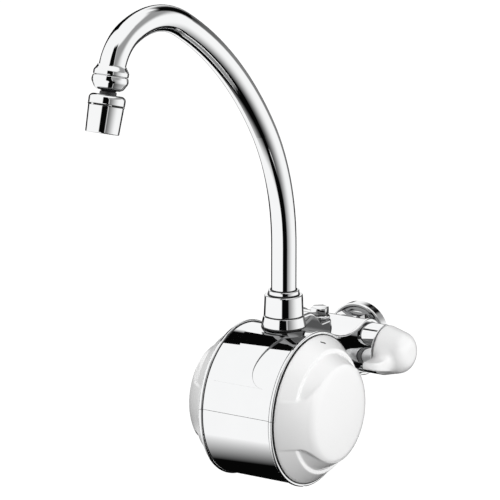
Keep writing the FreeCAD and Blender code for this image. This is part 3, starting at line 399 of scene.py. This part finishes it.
def finish(name, color, metallic, rough, grain, bump=0.0, bump_scale=1.0, coat=0.0, tint=0.03):
    """rough is the least and most roughness, and tint how much darker the noise makes the colour."""
    made = bpy.data.materials.new(name)
    made.use_nodes = True
    tree = made.node_tree
    shader = tree.nodes["Principled BSDF"]
    shader.inputs["Metallic"].default_value = metallic
    shader.inputs["Coat Weight"].default_value = coat
    shader.inputs["Coat Roughness"].default_value = coat_roughness
    where = tree.nodes.new("ShaderNodeTexCoord").outputs["Object"]
    cloud = tree.nodes.new("ShaderNodeTexNoise")
    cloud.inputs["Scale"].default_value = grain
    cloud.inputs["Detail"].default_value = 3.0
    tree.links.new(where, cloud.inputs["Vector"])
    span = tree.nodes.new("ShaderNodeMapRange")
    span.inputs["To Min"].default_value, span.inputs["To Max"].default_value = rough
    tree.links.new(cloud.outputs["Fac"], span.inputs["Value"])
    tree.links.new(span.outputs["Result"], shader.inputs["Roughness"])
    shade = tree.nodes.new("ShaderNodeMix")
    shade.data_type = "RGBA"
    shade.inputs["A"].default_value = (*[value * (1.0 - tint) for value in color], 1.0)
    shade.inputs["B"].default_value = (*color, 1.0)
    tree.links.new(cloud.outputs["Fac"], shade.inputs["Factor"])
    tree.links.new(shade.outputs["Result"], shader.inputs["Base Color"])
    if bump > 0.0:
        ripple = tree.nodes.new("ShaderNodeTexNoise")
        ripple.inputs["Scale"].default_value = bump_scale
        ripple.inputs["Detail"].default_value = 2.0
        tree.links.new(where, ripple.inputs["Vector"])
        lift = tree.nodes.new("ShaderNodeBump")
        lift.inputs["Strength"].default_value = bump
        lift.inputs["Distance"].default_value = bump_distance
        tree.links.new(ripple.outputs["Fac"], lift.inputs["Height"])
        tree.links.new(lift.outputs["Normal"], shader.inputs["Normal"])
    return made


# %% Finishes for the record's slots
plastic, metal = 0.0, 1.0
finishes = {
    "chrome": finish("polished_chrome", (0.93, 0.935, 0.94), metal, (0.0, 0.03), grain=60.0),
    "white_plastic": finish("white_plastic", (0.91, 0.91, 0.91), plastic, (0.16, 0.24), grain=40.0,
                            bump=0.04, bump_scale=90.0, coat=0.25, tint=0.02),
    "grey_plastic": finish("grey_plastic", (0.62, 0.62, 0.60), plastic, (0.45, 0.6), grain=300.0,
                           bump=0.2, bump_scale=1500.0),
    "brass": finish("turned_brass", (0.80, 0.60, 0.30), metal, (0.2, 0.35), grain=200.0,
                    bump=0.1, bump_scale=900.0),
    "steel": finish("bright_steel", (0.62, 0.62, 0.63), metal, (0.2, 0.32), grain=300.0,
                    bump=0.1, bump_scale=1200.0),
    # black rubber is the seals' own colour, and the same black is painted shadow in the joints' gaps and in
    # the cover's slot
    "black_rubber": finish("black_rubber", (0.02, 0.02, 0.02), plastic, (0.6, 0.75), grain=500.0,
                           bump=0.3, bump_scale=2500.0),
    "dark_plastic": finish("dark_neck", (0.02, 0.02, 0.022), plastic, (0.25, 0.4), grain=400.0,
                           bump=0.1, bump_scale=1500.0),
    "seat_plastic": finish("seat_plastic", (0.85, 0.85, 0.83), plastic, (0.4, 0.5), grain=300.0,
                           bump=0.1, bump_scale=1500.0),
    "ceramic": finish("fired_ceramic", (0.86, 0.84, 0.80), plastic, (0.5, 0.65), grain=400.0,
                      bump=0.2, bump_scale=1800.0),
}
slot_of = {row["node"]: row["material_slot"] for row in frame["record"]["subparts"]}
for name, node in nodes.items():
    node.data.materials.clear()
    node.data.materials.append(finishes[slot_of[name]])
print(len(finishes), "finishes on", len(nodes), "nodes")

# %% [markdown]
# ## A bench for new pieces
# Every new piece ends the same way: its normals face out, it gets a finish, and it rides on the body
# that carries it. Most of the small ones are turned, so one helper spins an outline round an axis. A
# CAD node's mesh is loose triangles, so another helper makes a joined copy to work on.

# %% Bench
merge_distance = 1e-6


def add_piece(name, shape, body, slot, *stands_for):
    """Makes a smooth object of a bmesh, with a finish, riding on a body."""
    mesh = bpy.data.meshes.new(name)
    bmesh.ops.recalc_face_normals(shape, faces=shape.faces)
    shape.to_mesh(mesh)
    shape.free()
    mesh.polygons.foreach_set("use_smooth", [True] * len(mesh.polygons))
    mesh.materials.append(finishes[slot])
    made = bpy.data.objects.new(name, mesh)
    bpy.context.scene.collection.objects.link(made)
    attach(made, body)
    if stands_for:
        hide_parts(*stands_for)
    print(name, "has", len(mesh.vertices), "vertices and rides on", body)
    return made


def spun(outline, foot, way, steps=96, closed=True):
    """Spins (along, radius) points round the axis through foot."""
    shape = bmesh.new()
    side = way.orthogonal().normalized()
    corners = [shape.verts.new(foot + way * along + side * radius) for along, radius in outline]
    edges = [shape.edges.new(pair) for pair in zip(corners, corners[1:])]
    if closed:
        edges.append(shape.edges.new((corners[-1], corners[0])))
    bmesh.ops.spin(shape, geom=corners + edges, cent=foot, axis=way, angle=math.tau, steps=steps,
                   use_merge=True, use_duplicate=False)
    bmesh.ops.remove_doubles(shape, verts=shape.verts, dist=merge_distance)
    return shape


def joined_copy(node_name):
    """A copy of a CAD node's mesh with its triangles joined."""
    shape = bmesh.new()
    shape.from_mesh(nodes[node_name].data)
    bmesh.ops.remove_doubles(shape, verts=shape.verts, dist=merge_distance)
    return shape


# %% [markdown]
# ## White end covers
# Each cover is moulded in white plastic: a cone that rises from the rim to a flat disc, with a crescent
# recess above and one below, so that a band is left across the middle to grip. It could be a turned
# shape with cuts, but the edges of the band flow into the disc. So a fine disc is spun first, and its
# points are then raised to one of two profiles, the recess or the band, with a soft step between them.

# %% Soft steps
def soft_step(value, low, high):
    share = min(max((value - low) / (high - low), 0.0), 1.0)
    return share * share * (3.0 - 2.0 * share)


def soft_least(first, second, roundness):
    """The lesser of two heights, with the corner between them rounded."""
    share = min(max(0.5 + 0.5 * (second - first) / roundness, 0.0), 1.0)
    return second + (first - second) * share - roundness * share * (1.0 - share)


# %% Recess profile
cover_foot = 0.0304
cover_rim = 0.0557
cone_foot = 0.0326
ledge_height = 0.0434
ledge_outer = 0.0468
ledge_inner = 0.0437
disc_edge = 0.0363
disc_edge_height = 0.0553
dome_rise = 0.0022
ledge_round = 0.0006
wall_foot_round = 0.0008
wall_top_round = 0.0018


def dome_height(radius):
    return disc_edge_height + dome_rise * (1.0 - (radius / disc_edge) ** 2)


def recess_height(radius):
    cone = cone_foot + (cover_rim - radius) / (cover_rim - ledge_outer) * (ledge_height - cone_foot)
    slope = (disc_edge_height - ledge_height) / (ledge_inner - disc_edge)
    wall = ledge_height + (ledge_inner - radius) * slope
    low = soft_least(cone, ledge_height, ledge_round)
    high = soft_least(wall, dome_height(radius), wall_top_round)
    return -soft_least(-low, -high, wall_foot_round)


print("the cover rises", round((dome_height(0.0) - cover_foot) * 1000.0, 2), "mm")

# %% Band profile
band_half = 0.0185
band_foot_slope = 1.45
band_bend_height = 0.0450
band_top_slope = 0.98
band_round = 0.0030
flare_start = 0.048
flare_length = 0.0102
flare_width = 0.012
band_edge_soft = 0.0006


def band_height(radius):
    lower = cone_foot + (cover_rim - radius) * band_foot_slope
    upper = band_bend_height + (ledge_outer - radius) * band_top_slope
    return soft_least(soft_least(lower, upper, band_round), dome_height(radius), band_round)


def cover_height(radius, level):
    flare = max((flare_start - radius) / flare_length, 0.0)
    edge = band_half + flare_width * flare ** 3
    in_recess = soft_step(abs(level), edge - band_edge_soft, edge + band_edge_soft)
    band = band_height(radius)
    return band + (recess_height(radius) - band) * in_recess


print("the band is", round(band_half * 2000.0, 1), "mm wide")

# %% End covers
barrel_axis = Vector((1.0, 0.0, 0.0))
cover_steps = 360
cover_wall = 0.0018
rim_lip = 0.0005
cone_rings, cone_ring_step = 8, 0.0008
wall_rings, wall_ring_start, wall_ring_step = 42, 0.0490, 0.00035
disc_rings, disc_ring_start = 14, 0.0340
cover_radii = [cover_rim - cone_ring_step * step for step in range(1, cone_rings + 1)]
cover_radii += [wall_ring_start - wall_ring_step * step for step in range(wall_rings)]
cover_radii += [disc_ring_start * (1.0 - step / disc_rings) for step in range(disc_rings + 1)]
rim_ease, rim_corner, rim_drop = 0.0002, 0.0006, 0.0003
rim_outline = [(cover_foot, cover_rim - rim_ease), (cone_foot - rim_corner, cover_rim),
               (cone_foot, cover_rim - rim_drop)]
cover_outline = rim_outline + [(recess_height(radius), radius) for radius in cover_radii]
for side, node_name in ((1.0, "right_cap"), (-1.0, "left_cap")):
    cover = spun(cover_outline, barrel_middle, barrel_axis, cover_steps, closed=False)
    for vert in cover.verts:
        away = vert.co - barrel_middle
        radius = math.hypot(away.y, away.z)
        if radius < cover_rim - rim_lip:
            vert.co.x = cover_height(radius, away.z)
    if side < 0.0:
        bmesh.ops.scale(cover, vec=(-1.0, 1.0, 1.0), verts=cover.verts)
    piece = add_piece(node_name + "_cover", cover, "body", "white_plastic", node_name)
    wall = piece.modifiers.new("wall", "SOLIDIFY")
    wall.thickness = cover_wall
    wall.offset = -1.0

# %% [markdown]
# ## White lever
# The lever is a round dome with a thumb paddle that grows out of it, all one moulding, so there is no
# hard crease between them. The CAD solid has the right outline, so a joined copy of it is remeshed into
# small even faces and smoothed a little. That rounds every edge as a mould does.

# %% Lever
lever_face = 0.0007
rounding_turns = 14
half_way = 0.5
lever = add_piece("lever_moulding", joined_copy("lever_handle"), "lever", "white_plastic", "lever_handle")
even = lever.modifiers.new("even_faces", "REMESH")
even.mode = "VOXEL"
even.voxel_size = lever_face
even.use_smooth_shade = True
rounding = lever.modifiers.new("rounding", "SMOOTH")
rounding.factor = half_way
rounding.iterations = rounding_turns
moulded = bpy.data.meshes.new_from_object(lever.evaluated_get(bpy.context.evaluated_depsgraph_get()))
lever.modifiers.clear()
lever.data = moulded
print("lever moulding has", len(moulded.vertices), "vertices")

# %% [markdown]
# ## The lever's fillet
# The paddle still meets the dome in a sharp hollow. A mould maker would round it with a large fillet. So
# the points that lie in a hollow, and only those, are drawn out towards their neighbours' mean, many
# times over. Convex edges keep their place, and so does the bore at the back, away from the paddle.

# %% Points and their neighbours
points = np.empty(len(moulded.vertices) * 3)
moulded.vertices.foreach_get("co", points)
points = points.reshape(-1, 3)
links = np.empty(len(moulded.edges) * 2, dtype=np.int64)
moulded.edges.foreach_get("vertices", links)
starts, ends = links.reshape(-1, 2).T
both_ways = np.concatenate((starts, ends))
neighbours = np.concatenate((ends, starts))
ring_size = np.bincount(both_ways, minlength=len(points))
print("a point has", round(float(ring_size.mean()), 2), "neighbours on average")

# %% Lever fillet
paddle_starts = -0.050
paddle_full = -0.056
fillet_turns = 900
turns_per_update = 10
near_paddle = np.clip((points[:, 1] - paddle_starts) / (paddle_full - paddle_starts), 0.0, 1.0)
normals = np.empty(len(moulded.vertices) * 3)
for turn in range(fillet_turns):
    if turn % turns_per_update == 0:
        moulded.vertices.foreach_set("co", points.ravel())
        moulded.update()
        moulded.vertex_normals.foreach_get("vector", normals)
    sums = [np.bincount(both_ways, points[neighbours, axis], len(points)) for axis in range(3)]
    pull = np.stack(sums, axis=1) / ring_size[:, None] - points
    in_hollow = np.sum(pull * normals.reshape(-1, 3), axis=1) > 0.0
    points += half_way * pull * (in_hollow * near_paddle)[:, None]
moulded.vertices.foreach_set("co", points.ravel())
moulded.update()
print("fillet drawn in", fillet_turns, "turns")

# %% [markdown]
# ## Seals and painted shadow gaps
# Where two chrome pieces meet, the photograph shows a thin black line: the shadow gap of a joint with
# its rubber seal. A gap that narrow would fill with reflections, so each joint gets a slim black ring,
# spun from an eight-cornered section, that rides with the piece which carries it. The ring is partly
# the rubber seal and partly painted shadow for the gap.

# %% Seal rings with painted shadow
ring_corners = 8
ring_steps = 128


def seal_and_shadow_ring(name, body, foot, way, along, radius, thickness):
    """A black ring at a place along an axis: a seal, and painted shadow for its gap. thickness is half its
    section's width.
    """
    section = []
    for corner in range(ring_corners):
        angle = math.tau * corner / ring_corners
        section.append((along + thickness * math.cos(angle), radius + thickness * math.sin(angle)))
    return add_piece(name, spun(section, foot, way, ring_steps), body, "black_rubber")


upward = Vector((0.0, 0.0, 1.0))
riser_foot = Vector((0.0, -0.1117, 0.0))
# black rings on the spout's joints: seals, and painted shadow for each joint's gap
spout_rings = [
    # name, height, radius, thickness
    ("nut_foot_seal", 0.0303, 0.0165, 0.0003),
    ("nut_skirt_line", 0.0388, 0.01435, 0.0004),
    ("bush_seal", 0.0548, 0.0117, 0.0004),
    ("spout_wiper", 0.0583, 0.0098, 0.0004),
]
for name, along, radius, thickness in spout_rings:
    seal_and_shadow_ring(name, "body", riser_foot, upward, along, radius, thickness)

# %% Aerator ring and cover rings
stream_ball = Vector((0.0, -0.333442, 0.255592))
stream_way = Vector((0.0, -0.273959, -0.961741))
aerator_joint = 0.01715
aerator_joint_radius = 0.0125
aerator_ring = 0.00045
# the aerator joint's black ring: a seal, and painted shadow for the joint's gap
seal_and_shadow_ring("aerator_joint_seal_shadow", "aerator", stream_ball, stream_way, aerator_joint, aerator_joint_radius,
            aerator_ring)
# the first ring is the cover's seal and painted shadow in the gap round it; the second is painted shadow
# only, in the groove beside the chrome bead
cover_rings = [("cover_seal", 0.0323, 0.0559, 0.00035), ("bead_line", 0.0289, 0.0570, 0.0004)]
for side, side_name in ((1.0, "right"), (-1.0, "left")):
    for name, along, radius, thickness in cover_rings:
        ring_name = side_name + "_" + name
        seal_and_shadow_ring(ring_name, "body", barrel_middle, barrel_axis, side * along, radius, thickness)

# %% [markdown]
# ## Flow knob
# The flow adjuster is a low hexagonal chrome head on a round flange. Sharp corners would reflect
# nothing, and a real head has small rounded edges that catch dark lines. So the hexagon is extruded
# from a six-cornered circle and its edges are bevelled, and the flange is turned.

# %% Flow knob
knob_foot = Vector((0.0, -0.0612, 0.0))
head_radius = 0.0071
head_height = 0.0054
head_bevel = 0.0007
head_level = 0.0280
head_turn = Matrix.Rotation(math.radians(12.0), 4, "Z")
knob_head = bmesh.new()
bmesh.ops.create_circle(knob_head, cap_ends=True, segments=6, radius=head_radius, matrix=head_turn)
grown = bmesh.ops.extrude_face_region(knob_head, geom=knob_head.faces[:])
top_verts = [item for item in grown["geom"] if isinstance(item, bmesh.types.BMVert)]
bmesh.ops.translate(knob_head, verts=top_verts, vec=(0.0, 0.0, head_height))
bmesh.ops.bevel(knob_head, geom=knob_head.edges[:], offset=head_bevel, affect="EDGES", segments=3,
                profile=0.5, material=-1)
bmesh.ops.translate(knob_head, verts=knob_head.verts, vec=knob_foot + upward * head_level)
add_piece("flow_knob_head", knob_head, "adjuster", "chrome", "flow_knob")

# %% Knob flange
flange_steps = 72
# height and radius of each corner
flange_outline = [(0.0246, 0.0), (0.0246, 0.0073), (0.0252, 0.0077), (0.0264, 0.0077), (0.0272, 0.0070),
                  (0.0274, 0.0060), (0.0282, 0.0058), (0.0282, 0.0)]
add_piece("flow_knob_flange", spun(flange_outline, knob_foot, upward, flange_steps), "adjuster", "chrome")
# the knob's black ring: a seal, and painted shadow for its gap
knob_ring_level, knob_ring_radius, knob_ring = 0.0277, 0.0060, 0.0004
seal_and_shadow_ring("flow_knob_seal_shadow", "adjuster", knob_foot, upward, knob_ring_level, knob_ring_radius, knob_ring)

# %% [markdown]
# ## Lugs and slot
# Small things show how the tap comes apart. The aerator's joint has lugs that bridge its dark gap, and
# the right cover has a slot near its rim where a screwdriver lifts it. Both could be cut into their
# neighbours, but they are tiny, so small blocks with rounded edges look the same. The slot's block is
# black: painted shade for the slot's depth.

# %% Small blocks
block_bevel_share = 0.25


def rounded_block(size, place, turn):
    """A block with bevelled edges, turned and put in place."""
    shape = bmesh.new()
    bmesh.ops.create_cube(shape, size=1.0)
    bmesh.ops.scale(shape, vec=size, verts=shape.verts)
    bmesh.ops.bevel(shape, geom=shape.edges[:], offset=min(size) * block_bevel_share, affect="EDGES",
                    segments=2, profile=0.5, material=-1)
    bmesh.ops.rotate(shape, cent=(0.0, 0.0, 0.0), matrix=turn, verts=shape.verts)
    bmesh.ops.translate(shape, verts=shape.verts, vec=place)
    return shape


# %% Aerator lugs
lug_count = 6
lug_size = (0.0012, 0.0022, 0.0012)
lug_side = stream_way.orthogonal().normalized()
for number in range(lug_count):
    swing = Matrix.Rotation(math.tau * (number + 0.5) / lug_count, 3, stream_way)
    outward = swing @ lug_side
    sideways = stream_way.cross(outward)
    lug_axes = Matrix((outward, sideways, stream_way)).transposed()
    lug_place = stream_ball + stream_way * aerator_joint + outward * aerator_joint_radius
    lug = rounded_block(lug_size, lug_place, lug_axes)
    add_piece("aerator_lug_%d" % (number + 1), lug, "aerator", "chrome")

# %% Cover slot, painted shade
slot_size = (0.0014, 0.0048, 0.0010)
cone_out = Vector((0.636, 0.0, 0.772))
slot_along = Vector((0.55, 1.0, -0.45)).normalized()
slot_axes = Matrix((cone_out, slot_along, cone_out.cross(slot_along))).transposed()
slot_place = barrel_middle + Vector((0.03765, 0.0030, 0.0510))
# a black block that paints the shade inside the cover's slot
add_piece("cover_slot_shadow", rounded_block(slot_size, slot_place, slot_axes), "body", "black_rubber")

# %% [markdown]
# ## Pipe thread
# The tail that goes into the wall has a half-inch pipe thread. Rings would look right from afar, but a
# thread climbs. So a triangle is spun round the tail and moved a little along it at each step, which
# gives a true helix, and its two ends are closed.

# %% Pipe thread
thread_way = Vector((0.0, 1.0, 0.0))
thread_pitch = 0.001814
thread_turns = 7
steps_in_turn = 48
# place along the tail and radius of each corner
thread_section = [(0.0008, 0.01040), (0.0015, 0.01095), (0.0022, 0.01040)]
thread = bmesh.new()
corners = [thread.verts.new((radius, along, 0.0)) for along, radius in thread_section]
edges = [thread.edges.new((corners[index], corners[(index + 1) % 3])) for index in range(3)]
bmesh.ops.spin(thread, geom=corners + edges, cent=(0.0, 0.0, 0.0), axis=thread_way,
               dvec=thread_way * (thread_pitch / steps_in_turn), angle=math.tau * thread_turns,
               steps=thread_turns * steps_in_turn, use_merge=False, use_duplicate=False)
bmesh.ops.holes_fill(thread, edges=thread.edges, sides=3)
add_piece("inlet_thread", thread, "body", "brass")

# %% [markdown]
# ## Return spring
# Inside the switch, a small steel spring pushes the contact slide back when the water stops. It stands
# on the switch's wall, and the slide shortens it as it comes. A rigid spring would run into the slide.
# Here a joined copy of the CAD coil takes its place with a mesh of its own, riding on the body, and
# nothing squashes it.

# %% Return spring
coil = joined_copy("return_spring")
spring = add_piece("return_spring_coil", coil, "body", "steel", "return_spring")
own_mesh(spring)
